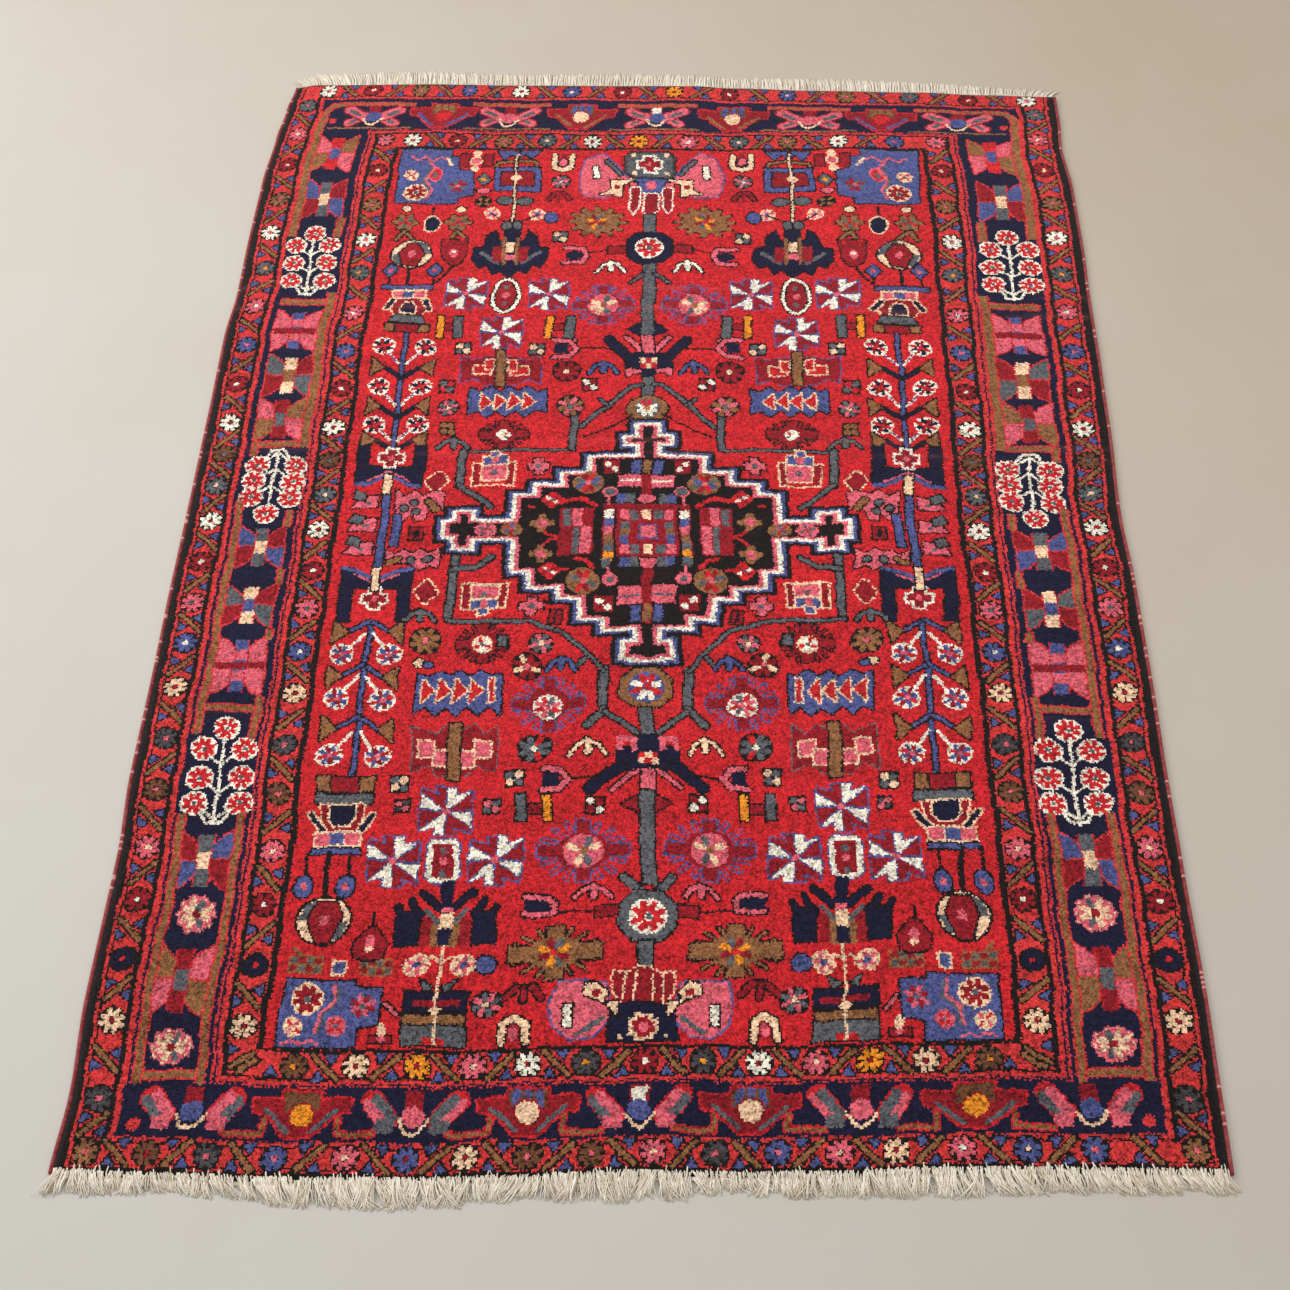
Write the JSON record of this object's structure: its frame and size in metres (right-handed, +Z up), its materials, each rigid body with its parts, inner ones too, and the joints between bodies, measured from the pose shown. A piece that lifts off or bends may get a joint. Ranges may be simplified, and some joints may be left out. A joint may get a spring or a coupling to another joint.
{
  "type": "oriental rug",
  "caption": "Flat hand-knotted wool rug, oblong, with a wrapped cord along each side and a cut fringe at each end, laid on a floor.",
  "frame": {"origin": "middle of the rug's box, on its underside at floor level", "axes": "+Y along the rug's length, away from the near end; +X across its width to the right; +Z up"},
  "size_m": [1.4936, 2.2652, 0.0097],
  "materials": {
    "pile": "knotted wool pile in red, navy, coral, pink, blue, camel and ivory",
    "selvedge": "overcast dark red wool",
    "fringe": "ivory cotton warp ends"
  },
  "bodies": {
    "root": {"rug_body": "pile", "selvedge_left": "selvedge", "selvedge_right": "selvedge", "fringe_near": "fringe", "fringe_far": "fringe"}
  },
  "joints": []
}
